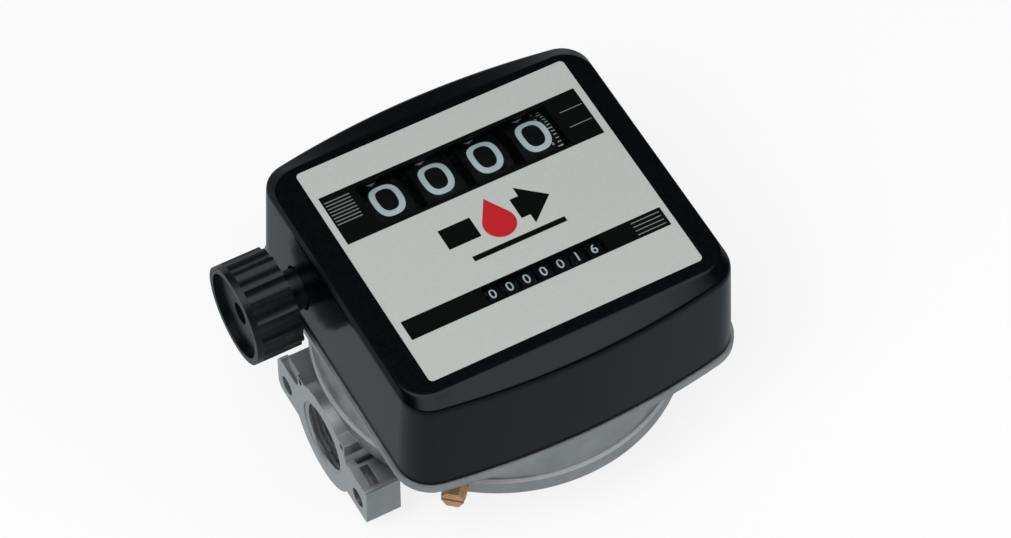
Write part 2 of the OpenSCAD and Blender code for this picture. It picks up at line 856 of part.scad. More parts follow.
module crown_gear() {
    tooth_h = (addendum_share + dedendum_share) * drive_module;
    pitch_w = PI * drive_module / 2 * crown_tooth_share;
    root_w = pitch_w + tooth_h * tan(pressure_angle) * crown_root_share;
    tip_w = pitch_w - tooth_h * tan(pressure_angle);
    color("#d8d4c4")
    along_x(crown_x, cross_at)
        difference() {
            union() {
                cylinder(r = crown_r + crown_face_w / 2 + crown_edge, h = crown_t);
                cylinder(r = crown_hub_r, h = crown_hub_l);
                for (i = [0:n_crown - 1])
                    rotate(-90 + 360 * i / n_crown)
                        translate([crown_r - crown_face_w / 2, 0, 0])
                            rotate([90, 0, 90])
                                linear_extrude(crown_face_w)
                                    polygon([[-root_w / 2, eps / 2], [-root_w / 2, 0], [-tip_w / 2, -tooth_h],
                                        [tip_w / 2, -tooth_h], [root_w / 2, 0], [root_w / 2, eps / 2]]);
            }
            translate([0, 0, -eps])
                cylinder(r = cross_shaft_r + seat_gap, h = crown_hub_l + 2 * eps);
            ring_of(5, crown_hole_ring_r)
                translate([0, 0, -eps])
                    cylinder(r = crown_hole_r, h = crown_t + 2 * eps);
        }
}

module cross_pinion() {
    color("#d8d4c4")
    along_x(cross_pinion_x, cross_at)
        gear(n_cross, wheel_module, frame_right - touch_gap - cross_pinion_x, cross_shaft_r + seat_gap);
}

module wheel_idler() {
    color("#d8d4c4")
    along_x(wheel_idler_x, wheel_idler_at) {
        gear(n_wheel_idler, wheel_module, wheel_idler_t, stub_r + running, wheel_idler_phase);
        tube(2 * stub_r, stub_r + running, frame_right - wheel_idler_x - touch_gap);
    }
}

module total_idler() {
    color("#d8d4c4") {
        along_x(total_idler_x, total_idler_at) {
            gear(n_total_idler, wheel_module, total_idler_t, stub_r + running,
                mate(bearing(cross_at, total_idler_at), 0, n_cross, n_total_idler));
            tube(2 * stub_r, stub_r + running, frame_right - total_idler_x - touch_gap);
        }
        along_x(total_gear_x + touch_gap, total_idler_at)
            gear(n_total_pinion, total_module, total_idler_x - total_gear_x - touch_gap, stub_r + running);
    }
}

// Number wheels. Each has a ring of teeth on its right, for the transfer pinion that turns it, and a locking
// disc with two teeth on its left, which moves the next pinion on once a turn
rim_share = 0.9;
rim_step_in = 0.15;
drive_tooth_turn = 60;
drive_teeth_from = -9;
drive_teeth_to = 27;

module number_wheel(r, rim_w, pitch, hub_r, bore, m, rod_d, side_t, turned, driven, drives) {
    lock_r = rod_d - tip_r(n_transfer, m) - touch_gap;
    tube(hub_r, bore, pitch / 2 - touch_gap / 4);
    mirror([0, 0, 1])
        tube(hub_r, bore, pitch / 2 - touch_gap / 4);
    translate([0, 0, -rim_w / 2])
        tube(r, r * rim_share, rim_w);
    translate([0, 0, rim_w / 2 - side_t])
        tube(r - rim_step_in, hub_r - rim_step_in, side_t);
    translate([0, 0, -rim_w / 2])
        tube(r - rim_step_in, hub_r - rim_step_in, side_t);
    if (driven)
        translate([0, 0, rim_w / 2 - rim_step_in])
            gear(n_ring, m, side_t + rim_step_in, hub_r - rim_step_in);
    if (drives)
        translate([0, 0, -rim_w / 2 - side_t])
            difference() {
                linear_extrude(side_t + rim_step_in) {
                    circle(lock_r);
                    rotate(turned)
                        intersection() {
                            polygon(gear_points(n_ring, m));
                            polygon([[0, 0], polar(2 * r, drive_teeth_from), polar(2 * r, drive_teeth_to)]);
                        }
                }
                translate([0, 0, -eps])
                    cylinder(r = hub_r - rim_step_in, h = side_t + 3 * eps);
            }
}

trip_hub_r = 6;
trip_side_t = 2;
module trip_wheel(i) {
    color("#141517")
    along_x(trip_x(i), trip_at) {
        number_wheel(trip_r, trip_rim_w, trip_pitch, trip_hub_r, reset_shaft_r + running, trip_ring_module,
            trip_rod_d, trip_side_t, trip_rod_turn + drive_tooth_turn, i > 0, i < trip_count - 1);
        if (i == 0)
            translate([0, 0, trip_rim_w / 2 - rim_step_in])
                gear(n_wheel, wheel_module, wheel_gear_t + rim_step_in, trip_hub_r - rim_step_in,
                    mate(bearing(wheel_idler_at, trip_at), wheel_idler_phase, n_wheel_idler, n_wheel));
    }
}

total_hub_r = 2.6;
total_side_t = 0.65;
module total_wheel(i) {
    color("#141517")
    along_x(total_x(i), total_at) {
        number_wheel(total_r, total_rim_w, total_pitch, total_hub_r, total_shaft_r + running,
            total_ring_module, total_rod_d, total_side_t, total_rod_turn + drive_tooth_turn, i > 0,
            i < total_count - 1);
        if (i == 0)
            translate([0, 0, total_rim_w / 2 - rim_step_in])
                gear(n_total, total_module, total_gear_t + rim_step_in, total_hub_r - rim_step_in,
                    mate(bearing(total_idler_at, total_at), 0, n_total_pinion, n_total));
    }
}

// Transfer pinion: all its teeth on the left, every second one on the right
module transfer(m, rod_r, rim_gap, side_gap, phase) {
    half = rim_gap / 2 - side_gap;
    translate([0, 0, -half])
        gear(n_transfer, m, half, rod_r + running, phase);
    translate([0, 0, -rim_step_in])
        gear(n_transfer, m, half + rim_step_in, rod_r + running, phase, 2);
}

module trip_transfer(i) {
    color("#d8d4c4")
    along_x(trip_x(i) + trip_pitch / 2, trip_rod_at)
        transfer(trip_ring_module, trip_rod_r, trip_pitch - trip_rim_w, touch_gap,
            mate(trip_rod_turn, 0, n_ring, n_transfer));
}

module total_transfer(i) {
    color("#d8d4c4")
    along_x(total_x(i) + total_pitch / 2, total_rod_at)
        transfer(total_ring_module, total_rod_r, total_pitch - total_rim_w, touch_gap / 2,
            mate(total_rod_turn, 0, n_ring, n_transfer));
}

module transfer_rods() {
    color("#c3c6c9") {
        along_x(frame_left - frame_t, trip_rod_at)
            cylinder(r = trip_rod_r, h = frame_out - frame_left + frame_t);
        along_x(frame_left - frame_t, total_rod_at)
            cylinder(r = total_rod_r, h = frame_out - frame_left + frame_t);
    }
}

// The totaliser shaft ends in a bracket beside the idler, which is wider than the way past the shaft
bracket_t = 1.8;
bracket_x = total_gear_x + total_gear_t + total_idler_rise / 2 - bracket_t / 2;
bracket_end = 4;
bracket_side = 10;

module total_shaft() {
    color("#c3c6c9")
    along_x(frame_left - frame_t, total_at)
        cylinder(r = total_shaft_r, h = bracket_x + bracket_t - frame_left + frame_t);
}

module bracket() {
    along_x(bracket_x)
        linear_extrude(bracket_t)
            difference() {
                union() {
                    translate(total_at)
                        circle(bracket_end);
                    polygon([[-rail_y - rail_w / 2, z_floor], [-rail_y + rail_w / 2, z_floor],
                        [total_idler_at[0] - bracket_side + bracket_end / 2, total_idler_at[1]],
                        [total_at[0], total_at[1] - bracket_end], [total_at[0], total_at[1] + bracket_end],
                        [total_idler_at[0] - bracket_side - bracket_end, total_idler_at[1]]]);
                }
                translate(total_at)
                    circle(total_shaft_r + seat_gap);
            }
}

// Counter frame: two side plates on two rails that stand on the tray floor
plate_margin = 5;
plate_head = 4.5;
plate_shoulder = 15;
plate_over_deck = 1.5;
light_r = 9.5;
light_rise = 17.5;
small_light_r = 5;
small_light_y = 31.2;
small_light_rise = 14;

module frame_plate_outline() {
    difference() {
        polygon([[-rail_y - rail_w / 2, z_floor], [rail_y + rail_w / 2, z_floor],
            [rail_y + rail_w / 2, z_deck + plate_over_deck],
            [trip_rod_at[0] + plate_margin, z_deck + plate_over_deck],
            [trip_rod_at[0] + plate_margin, trip_rod_at[1] + plate_margin],
            [trip_at[0] + plate_margin, trip_at[1] + plate_shoulder],
            [total_rod_at[0], total_at[1] + plate_head],
            [total_at[0] - plate_margin, total_at[1] + plate_head],
            [total_idler_at[0] - plate_margin, total_idler_at[1]], [-rail_y - rail_w / 2, z_deck]]);
        translate([(trip_at[0] + cross_at[0]) / 2 + plate_margin, z_floor + light_rise])
            circle(light_r);
        translate([-small_light_y, z_floor + small_light_rise])
            circle(small_light_r);
    }
}

module frame_bores(h) {
    translate([trip_at[0], trip_at[1], -eps])
        cylinder(r = reset_shaft_r + running, h = h);
    translate([cross_at[0], cross_at[1], -eps])
        cylinder(r = cross_shaft_r + running, h = h);
    translate([trip_rod_at[0], trip_rod_at[1], -eps])
        cylinder(r = trip_rod_r + seat_gap, h = h);
    translate([total_rod_at[0], total_rod_at[1], -eps])
        cylinder(r = total_rod_r + seat_gap, h = h);
}

module counter_frame() {
    color("#5b5f63")
    difference() {
        union() {
            for (x = [frame_left - frame_t, frame_right])
                along_x(x)
                    difference() {
                        linear_extrude(frame_t)
                            frame_plate_outline();
                        frame_bores(frame_t + 2 * eps);
                    }
            for (y = [-1, 1])
                translate([frame_left - eps, y * rail_y - rail_w / 2, z_floor])
                    cube([frame_right - frame_left + 2 * eps, rail_w, rail_h]);
            bracket();
        }
        along_x(frame_left - frame_t - eps, total_at)
            cylinder(r = total_shaft_r + seat_gap, h = frame_t + 2 * eps);
        along_x(frame_right - eps)
            for (p = [wheel_idler_at, total_idler_at])
                translate([p[0], p[1], 0])
                    cylinder(r = stub_r + seat_gap, h = frame_t + 2 * eps);
        frame_screw_places()
            translate([0, 0, z_floor - eps])
                cylinder(r = frame_screw_r + running, h = rail_h + 2 * eps);
    }
}

frame_head_r = 2.5;
frame_head_h = 1.5;
frame_slot = 0.75;

module counter_screws() {
    color("#b9bcbf")
    frame_screw_places() {
        translate([0, 0, z_floor + rail_h])
            difference() {
                cylinder(r = frame_head_r, h = frame_head_h);
                translate([-frame_head_r - eps, -frame_slot / 2, frame_head_h / 2])
                    cube([2 * frame_head_r + 2 * eps, frame_slot, frame_head_h]);
            }
        translate([0, 0, z_floor - frame_screw_depth + touch_gap])
            cylinder(r = frame_screw_r, h = rail_h + frame_screw_depth);
    }
}

// Register cover: a drafted shell with bowed ends, a flat face and sloping bands in front and behind
shoulder_half_x = cover_half_x - cover_draft;
shoulder_half_y = cover_half_y - cover_draft;
shoulder_corner_step = 3;
shoulder_corner = corner_r - shoulder_corner_step;
face_edge = 1.4;
face_half_x = shoulder_half_x - face_edge;
face_half_y = shoulder_half_y - bevel_w;
face_bow_r = 7000;
plate_w = 2 * (face_half_x - face_shift_x - plate_edge_x);
plate_l = 2 * (face_half_y - face_shift_y - plate_edge_y);
slab = 0.02;

module cover_form(inset) {
    top = z_face - inset;
    hull() {
        translate([0, 0, z_deck])
            linear_extrude(slab)
                polygon(bowed(cover_half_x - inset, cover_half_y - inset, corner_r - inset, bow_r - inset));
        translate([0, 0, z_face - bevel_h - inset])
            linear_extrude(slab)
                polygon(bowed(shoulder_half_x - inset, shoulder_half_y - inset, shoulder_corner - inset,
                    bow_r - inset));
        translate([0, 0, top - slab])
            linear_extrude(slab)
                polygon(bowed(face_half_x - inset, face_half_y - inset, shoulder_corner - inset,
                    face_bow_r));
    }
}

pane_lap = 3;
window_r = 1;
knob_hub_r = 9;
knob_hole_r = 10;
plate_corner_r = 2;
window_cut = 9;
wheel_relief = 0.4;
trip_window_x = 1.55;
window_ahead = 0.8;
trip_window_y = trip_y + window_ahead;
total_window_y = total_y + window_ahead;
knob_hole_cut = 12;

module at_trip_window() {
    translate([trip_window_x, trip_window_y, 0])
        children();
}

module at_total_window() {
    translate([total_mid_x, -total_window_y, 0])
        children();
}

module register_cover() {
    color("#111214")
    difference() {
        cover_form(0);
        difference() {
            translate([0, 0, -slab])
                cover_form(cover_wall);
            foot_screw_places()
                translate([0, 0, z_deck])
                    cylinder(r = foot_boss_r, h = foot_boss_h);
        }
        translate([face_shift_x, face_shift_y, z_plate])
            linear_extrude(plate_t + eps)
                round_rect(plate_w + 2 * seat_gap, plate_l + 2 * seat_gap, plate_corner_r);
        at_trip_window() {
            translate([0, 0, z_face - window_cut])
                linear_extrude(window_cut + eps)
                    round_rect(trip_window_w, trip_window_h, window_r);
            translate([0, 0, z_pane])
                linear_extrude(pane_t + eps)
                    round_rect(trip_window_w + 2 * pane_lap, trip_window_h + 2 * pane_lap, window_r);
        }
        at_total_window() {
            translate([0, 0, z_face - window_cut])
                linear_extrude(window_cut + eps)
                    round_rect(total_window_w, total_window_h, window_r);
            translate([0, 0, z_pane])
                linear_extrude(pane_t + eps)
                    round_rect(total_window_w + 2 * pane_lap, total_window_h + 2 * pane_lap, window_r);
        }
        along_x(-cover_half_x - eps, trip_at)
            cylinder(r = knob_hole_r, h = knob_hole_cut);
        along_x(trip_x(0), trip_at)
            cylinder(r = trip_r + wheel_relief, h = trip_rim_w);
        foot_screw_places()
            translate([0, 0, z_deck - eps])
                cylinder(r = foot_screw_r + running, h = foot_screw_l);
    }
}

foot_head_r = 3.6;
foot_head_h = 2;

module cover_screws() {
    color("#b9bcbf")
    foot_screw_places() {
        translate([0, 0, z_flange - foot_head_h])
            cylinder(r = foot_head_r, h = foot_head_h);
        translate([0, 0, z_flange - eps])
            cylinder(r = foot_screw_r, h = foot_screw_l);
    }
}

module face_plate() {
    color("#b6bcb5")
    difference() {
        translate([face_shift_x, face_shift_y, z_plate])
            linear_extrude(plate_t)
                round_rect(plate_w, plate_l, plate_corner_r);
        at_trip_window()
            translate([0, 0, z_pane])
                linear_extrude(pane_t + 2 * plate_t)
                    round_rect(trip_window_w, trip_window_h, window_r);
        at_total_window()
            translate([0, 0, z_pane])
                linear_extrude(pane_t + 2 * plate_t)
                    round_rect(total_window_w, total_window_h, window_r);
    }
}

module pane(w, h) {
    fit = 2 * pane_lap - 2 * seat_gap;
    translate([0, 0, z_pane])
        linear_extrude(pane_t)
            round_rect(w + fit, h + fit, window_r);
}

module trip_window() {
    color("#cfe0e4", 0.35)
    at_trip_window()
        pane(trip_window_w, trip_window_h);
}

module total_window() {
    color("#cfe0e4", 0.35)
    at_total_window()
        pane(total_window_w, total_window_h);
}

// Reset knob on the shaft that carries the trip wheels
knob_stand = 8.7;
knob_back_x = -cover_half_x + cover_draft / 2 - knob_stand;
knob_face_x = knob_back_x - knob_l;
knob_ring_w = 3;
knob_recess = 3;
knob_well = 6;
knob_screw_r = 5;
knob_screw_t = 3;
flute_r = 6.9;
knob_hub_in = 3;
knob_lip = 3;
knob_socket_r = 2.5;

module reset_shaft() {
    color("#c3c6c9")
    along_x(knob_face_x + knob_well + knob_screw_t, trip_at)
        cylinder(r = reset_shaft_r, h = frame_out - knob_face_x - knob_well - knob_screw_t);
}

module reset_knob() {
    color("#15171a")
    along_x(0, trip_at)
        difference() {
            union() {
                translate([0, 0, knob_face_x])
                    cylinder(r = knob_r, h = knob_l);
                translate([0, 0, knob_face_x])
                    cylinder(r = knob_hub_r, h = frame_left - frame_t - knob_hub_in - knob_face_x);
            }
            for (i = [0:flute_count - 1])
                rotate(360 * i / flute_count)
                    translate([knob_r + flute_r - flute_depth, 0, knob_face_x + knob_lip])
                        cylinder(r = flute_r, h = knob_l);
            translate([0, 0, knob_face_x - eps])
                cylinder(r = knob_r - knob_ring_w, h = knob_recess + eps);
            translate([0, 0, knob_face_x - eps])
                cylinder(r = knob_screw_r + seat_gap, h = knob_well + knob_screw_t + eps);
            translate([0, 0, knob_face_x - eps])
                cylinder(r = reset_shaft_r + seat_gap, h = frame_left - knob_face_x + eps);
        }
}

module knob_screw() {
    color("#1b1c1e")
    along_x(knob_face_x + knob_well, trip_at)
        difference() {
            cylinder(r = knob_screw_r, h = knob_screw_t);
            translate([0, 0, -eps])
                cylinder(r = knob_socket_r, h = knob_screw_t / 2 + eps, $fn = 6);
        }
}

meter_body();
body_cover();
body_seal();
body_screws();
chamber_lower();
chamber_upper();
partition_plate();
chamber_seal();
nutating_disc();
crank();
drive_pinion();
shaft_bush();
shaft_seal();
inlet_strainer();
strainer_ring();
calibration_screw();
calibration_seal();
reduction_gear();
gear_pins();
cross_shaft();
crown_gear();
cross_pinion();
wheel_idler();
total_idler();
for (i = [0:trip_count - 1])
    trip_wheel(i);
for (i = [0:trip_count - 2])
    trip_transfer(i + 1);
for (i = [0:total_count - 1])
    total_wheel(i);
for (i = [0:total_count - 2])
    total_transfer(i + 1);
transfer_rods();
total_shaft();
counter_frame();
counter_screws();
reset_shaft();
reset_knob();
knob_screw();
register_cover();
cover_screws();
face_plate();
trip_window();
total_window();
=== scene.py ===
# A mechanical flow meter on a pale studio floor: cast body, gloss black counter head, reset knob
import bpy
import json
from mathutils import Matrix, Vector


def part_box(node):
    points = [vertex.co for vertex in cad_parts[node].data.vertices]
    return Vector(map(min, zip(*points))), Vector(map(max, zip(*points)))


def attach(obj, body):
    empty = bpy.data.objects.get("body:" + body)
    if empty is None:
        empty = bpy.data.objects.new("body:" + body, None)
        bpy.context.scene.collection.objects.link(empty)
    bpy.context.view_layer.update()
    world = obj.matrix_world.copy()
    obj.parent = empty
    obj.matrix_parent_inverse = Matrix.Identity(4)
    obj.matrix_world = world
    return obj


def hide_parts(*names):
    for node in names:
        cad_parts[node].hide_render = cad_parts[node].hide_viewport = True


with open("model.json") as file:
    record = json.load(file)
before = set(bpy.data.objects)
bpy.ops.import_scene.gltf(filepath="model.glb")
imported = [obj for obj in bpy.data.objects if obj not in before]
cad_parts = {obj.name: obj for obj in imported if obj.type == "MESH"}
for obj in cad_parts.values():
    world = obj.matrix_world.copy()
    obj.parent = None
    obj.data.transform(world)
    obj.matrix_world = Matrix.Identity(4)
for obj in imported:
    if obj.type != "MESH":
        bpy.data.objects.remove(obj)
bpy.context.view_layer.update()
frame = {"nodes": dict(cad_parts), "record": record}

import json
import math
import bmesh
import bpy
from mathutils import Matrix, Vector

mm = 0.001
touching = 1e-6  # two heights this close, in metres, are the same
flatness = 0.9  # a face whose normal rises or falls by more than this lies flat
up = Vector((0, 0, 1))
nodes = frame["nodes"]


def toLinear(hexColour):
    # an sRGB hex colour as the linear one that a socket takes
    channels = [int(hexColour[i:i + 2], 16) / 255 for i in (1, 3, 5)]
    return [c / 12.92 if c <= 0.04045 else ((c + 0.055) / 1.055) ** 2.4 for c in channels] + [1]


def addNode(tree, kind, links=None, stops=None, **settings):
    # links go from an input's name or number to a value, a hex colour or another node's output, and stops are
    # the places and colours of a ramp
    made = tree.nodes.new(kind)
    for name, value in settings.items():
        setattr(made, name, value)
    for socket, value in (links or {}).items():
        if isinstance(value, bpy.types.NodeSocket):
            tree.links.new(value, made.inputs[socket])
        else:
            made.inputs[socket].default_value = toLinear(value) if isinstance(value, str) else value
    if stops:
        points = made.color_ramp.elements
        for point, (place, colour) in zip(points[:], (stops[0], stops[-1])):
            point.position, point.color = place, toLinear(colour)
        for place, colour in stops[1:-1]:
            points.new(place).color = toLinear(colour)
    return made


def newMaterial(name):
    material = bpy.data.materials.new(name)
    material.use_nodes = True
    material.node_tree.nodes.clear()
    return material, material.node_tree


# How every pattern is drawn: its fine grain, and the part of its range in which nearly all of it lies
patterns = {"grain": 0.55, "spread": (0.3, 0.7)}


def mottled(tree, place, look, normal=None):
    # sizes are pairs of the length in mm in which a pattern repeats about once, and its detail. The first
    # pattern gives colour and roughness, and the last one the relief, where the look has a height in mm and a
    # strength for it
    grains = [addNode(tree, "ShaderNodeTexNoise", {
        "Vector": place, "Scale": 1 / (size * mm), "Detail": detail,
        "Roughness": patterns["grain"]}).outputs["Fac"] for size, detail in look["sizes"]]
    links = dict(look["surface"])
    if "colours" in look:
        ramp = addNode(tree, "ShaderNodeValToRGB", {"Fac": grains[0]}, stops=look["colours"])
        links["Base Color"] = ramp.outputs["Color"]
    low, high = look.get("spread", patterns["spread"])
    links["Roughness"] = addNode(tree, "ShaderNodeMapRange", {
        "Value": grains[0], "From Min": low, "From Max": high, "To Min": look["rough"][0],
        "To Max": look["rough"][1]}).outputs["Result"]
    if "relief" in look:
        height, strength = look["relief"]
        under = {"Normal": normal} if normal else {}
        normal = addNode(tree, "ShaderNodeBump", {
            "Height": grains[-1], "Distance": height * mm, "Strength": strength, **under}).outputs["Normal"]
    if normal:
        links["Normal"] = normal
    return addNode(tree, "ShaderNodeBsdfPrincipled", links).outputs[0]


def plainFinish(name, look):
    material, tree = newMaterial(name)
    place = addNode(tree, "ShaderNodeTexCoord").outputs["Object"]
    if "stretch" in look:
        place = addNode(tree, "ShaderNodeMapping", {"Vector": place, "Scale": look["stretch"]}).outputs[0]
    addNode(tree, "ShaderNodeOutputMaterial", {"Surface": mottled(tree, place, look)})
    return material


# Sand cast aluminium, shot blasted: a pebbled skin that spreads highlights and is cloudy from the mould, with
# worn, rounded edges. Real pebbles are about 0.3 mm, too fine to show, and are drawn coarser. The port faces
# are milled and the ports bored, so they are smoother and brighter. A painted highlight, a bright band of part
# diffuse metal, runs round the rim's top edge under the drum
castLook = {"edgeMm": 0.9, "edgeSamples": 6,
            "skin": {"sizes": [(14, 5), (0.9, 3)], "rough": (0.36, 0.52), "relief": (0.06, 1.0),
                     "colours": [(0.3, "#b2b5b7"), (0.55, "#c2c5c6"), (0.75, "#d0d2d4")],
                     "surface": {"Metallic": 1.0}},
            "milled": {"sizes": [(2.5, 3)], "rough": (0.26, 0.38),
                       "colours": [(0.3, "#dcdedf"), (0.7, "#eaebec")],
                       "surface": {"Metallic": 1.0}},
            # painted highlight: a bright band round the rim's top edge under the drum
            "turned": {"Base Color": "#e6e8e9", "Metallic": 0.85, "Roughness": 0.62},
            "faceFromMm": 84.26, "portZMm": 28, "boreMm": 16.9, "boreFromMm": 60,
            "rimMm": 53.5, "rimHighlightMm": 0.61}


def castAluminium():
    material, tree = newMaterial("castAluminium")
    place = addNode(tree, "ShaderNodeTexCoord").outputs["Object"]
    edges = addNode(tree, "ShaderNodeBevel", {"Radius": castLook["edgeMm"] * mm},
                    samples=castLook["edgeSamples"]).outputs["Normal"]
    skin = mottled(tree, place, castLook["skin"], edges)
    milled = mottled(tree, place, castLook["milled"], edges)
    # the bright band round the rim's top edge is a painted highlight
    turned = addNode(tree, "ShaderNodeBsdfPrincipled", castLook["turned"]).outputs[0]
    parts = addNode(tree, "ShaderNodeSeparateXYZ", {0: place}).outputs
    known = {"x": parts["X"], "y": parts["Y"], "z": parts["Z"]}
    # each row names a new value, how it is worked out, and the known values and numbers that it takes
    for name, operation, *taken in (
            ("outward", "ABSOLUTE", "x"),
            ("onFace", "GREATER_THAN", "outward", castLook["faceFromMm"] * mm),
            ("sideSquared", "POWER", "y", 2.0),
            ("drop", "SUBTRACT", "z", castLook["portZMm"] * mm),
            ("dropSquared", "POWER", "drop", 2.0),
            ("offAxisSquared", "ADD", "sideSquared", "dropSquared"),
            ("nearAxis", "LESS_THAN", "offAxisSquared", (castLook["boreMm"] * mm) ** 2),
            ("farOut", "GREATER_THAN", "outward", castLook["boreFromMm"] * mm),
            ("inBore", "MULTIPLY", "nearAxis", "farOut"),
            ("cut", "MAXIMUM", "onFace", "inBore"),
            ("paintedHighlightBand", "COMPARE", "z", castLook["rimMm"] * mm, castLook["rimHighlightMm"] * mm)):
        links = {i: known[value] if isinstance(value, str) else value for i, value in enumerate(taken)}
        known[name] = addNode(tree, "ShaderNodeMath", links, operation=operation).outputs[0]
    shader = addNode(tree, "ShaderNodeMixShader", {0: known["cut"], 1: skin, 2: milled}).outputs[0]
    # the painted highlight is mixed in on the band round the rim's top edge
    shader = addNode(tree, "ShaderNodeMixShader", {0: known["paintedHighlightBand"], 1: shader, 2: turned}).outputs[0]
    addNode(tree, "ShaderNodeOutputMaterial", {"Surface": shader})
    return material


# Glass filled nylon from a spark eroded mould: a satin black that goes grey where it catches light. The mould's
# grain is about 0.1 mm, too fine to show, and is drawn coarser
def satinNylon(name, dark, light, rough, shine):
    return plainFinish(name, {
        "sizes": [(9, 5), (0.45, 4)], "rough": rough, "relief": (0.03, 1.0),
        "colours": [(0.35, dark), (0.75, light)],
        "surface": {"IOR": 1.5, "Specular IOR Level": shine}})


# Ground steel rod and zinc plated sheet: cool grey, with fine marks along the part, drawn coarser to show
def plainSteel(name, dark, light, rough):
    return plainFinish(name, {
        "stretch": (0.12, 1, 1), "sizes": [(0.5, 3)], "rough": rough, "colours": [(0.3, dark), (0.7, light)],
        "surface": {"Metallic": 1.0}})


# Screen printing ink on the aluminium face plate: satin, with a fine fleck, drawn coarser to show
def printedInk(name, dark, light, rough, shine):
    return plainFinish(name, {
        "sizes": [(0.7, 4)], "rough": rough, "relief": (0.01, 1.0), "colours": [(0.3, dark), (0.7, light)],
        "surface": {"IOR": 1.48, "Specular IOR Level": shine}})


# Turned aluminium, for the thread of the ports: bright, with faint tool marks
machined = plainFinish("machinedAluminium", {
    "sizes": [(2.5, 3)], "rough": (0.32, 0.44), "colours": [(0.3, "#d4d6d7"), (0.7, "#e0e2e3")],
    "surface": {"Metallic": 1.0}})

# Moulded ABS with a high gloss, near black: its colour comes almost wholly from what it reflects, which a long
# ripple of the mould bends a little. Its specks of dust are drawn coarser to show
gloss = plainFinish("glossAbs", {
    "sizes": [(1.1, 4), (26, 2)], "rough": (0.14, 0.22), "spread": (0.3, 0.8), "relief": (0.05, 0.5),
    "colours": [(0.35, "#020304"), (0.75, "#05070a")],
    "surface": {"IOR": 1.5, "Specular IOR Level": 0.3, "Specular Tint": "#dbe9f4"}})

# Acetal gear plastic: milky off white, slightly waxy
gearWhite = plainFinish("acetal", {
    "sizes": [(6, 3)], "rough": (0.34, 0.44), "colours": [(0.3, "#d9d5c8"), (0.7, "#e6e2d6")],
    "surface": {"IOR": 1.48, "Subsurface Weight": 0.15, "Subsurface Radius": (0.002, 0.0018, 0.0014)}})

# Turned brass, bright but handled: warm, with faint tarnish
brass = plainFinish("turnedBrass", {
    "sizes": [(3.5, 5)], "rough": (0.24, 0.4),
    "colours": [(0.3, "#d8a67c"), (0.6, "#eabf98"), (0.8, "#f4d3b4")],
    "surface": {"Metallic": 0.8}})

# Nitrile rubber: dead black with a soft bloom
rubber = plainFinish("nitrile", {
    "sizes": [(2, 3)], "rough": (0.6, 0.75), "colours": [(0.3, "#121212"), (0.7, "#1d1c1b")],
    "surface": {"IOR": 1.52}})

# Clear polycarbonate pane, faintly smeared. Shadow rays pass it, so the wheels below are lit, and its IOR is
# lower than the real 1.58, because the photograph shows no glare on the windows
paneLook = {"sizes": [(8, 3)], "rough": (0.0, 0.05), "spread": (0.3, 0.8), "shadow": "#e4e9ea",
            "surface": {"Base Color": "#eef3f4", "Transmission Weight": 1.0, "IOR": 1.15}}


def polycarbonate():
    material, tree = newMaterial("polycarbonate")
    clear = mottled(tree, addNode(tree, "ShaderNodeTexCoord").outputs["Object"], paneLook)
    passed = addNode(tree, "ShaderNodeBsdfTransparent", {"Color": paneLook["shadow"]}).outputs[0]
    isShadow = addNode(tree, "ShaderNodeLightPath").outputs["Is Shadow Ray"]
    shader = addNode(tree, "ShaderNodeMixShader", {0: isShadow, 1: clear, 2: passed}).outputs[0]
    addNode(tree, "ShaderNodeOutputMaterial", {"Surface": shader})
    return material


faceInk = printedInk("faceInk", "#a9aeaa", "#b0b5b1", (0.42, 0.5), 0.35)
blackInk = printedInk("blackInk", "#020303", "#040505", (0.36, 0.44), 0.1)
greyInk = printedInk("greyInk", "#6d716f", "#767a78", (0.4, 0.48), 0.35)
redInk = printedInk("redInk", "#a8121c", "#b4151f", (0.36, 0.44), 0.35)
figureInk = satinNylon("figureInk", "#9aa0a2", "#a6abad", (0.45, 0.57), 0.3)
finishes = {"cast": castAluminium(), "cover": gloss, "plate": faceInk, "pane": polycarbonate(), "seal": rubber,
            "knob": satinNylon("knobNylon", "#070a0c", "#0d1215", (0.23, 0.35), 0.34),
            "wheel": satinNylon("wheelPlastic", "#010202", "#030406", (0.55, 0.67), 0.12),
            "chamber": satinNylon("chamberPlastic", "#232629", "#33373a", (0.35, 0.47), 0.3),
            "steel": plainSteel("groundSteel", "#a9acae", "#c3c6c8", (0.22, 0.34)),
            "frame": plainSteel("zincSheet", "#6f7478", "#8a8f93", (0.34, 0.5)),
            "gear": gearWhite, "brass": brass}
for part in frame["record"]["subparts"]:
    piece = nodes[part["node"]]
    piece.data.materials.clear()
    piece.data.materials.append(finishes[part["material_slot"]])
print("materials set on", len(nodes), "nodes")


def addObject(name, shape, material):
    mesh = bpy.data.meshes.new(name)
    shape.to_mesh(mesh)
    shape.free()
    mesh.materials.append(material)
    made = bpy.data.objects.new(name, mesh)
    bpy.context.scene.collection.objects.link(made)
    return made


def makePiece(name, shape, material, body):
    piece = addObject(name, shape, material)
    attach(piece, body)
    return piece


def smooth(piece, sharpFrom):
    piece.data.shade_smooth()
    piece.data.set_sharp_from_angle(angle=math.radians(sharpFrom))


def oblong(x, y, z, width, height, corner=0.0, steps=4):
    # anticlockwise corners, in metres, of a rounded rectangle that lies flat and is given in mm
    found = []
    for turn, sx, sy in ((0, 1, 1), (90, -1, 1), (180, -1, -1), (270, 1, -1)):
        cx, cy = x + sx * (width / 2 - corner), y + sy * (height / 2 - corner)
        for k in range(steps + 1 if corner else 1):
            angle = math.radians(turn + (90 * k / steps if corner else 45))
            found.append((mm * (cx + corner * math.cos(angle)), mm * (cy + corner * math.sin(angle)), mm * z))
    return found


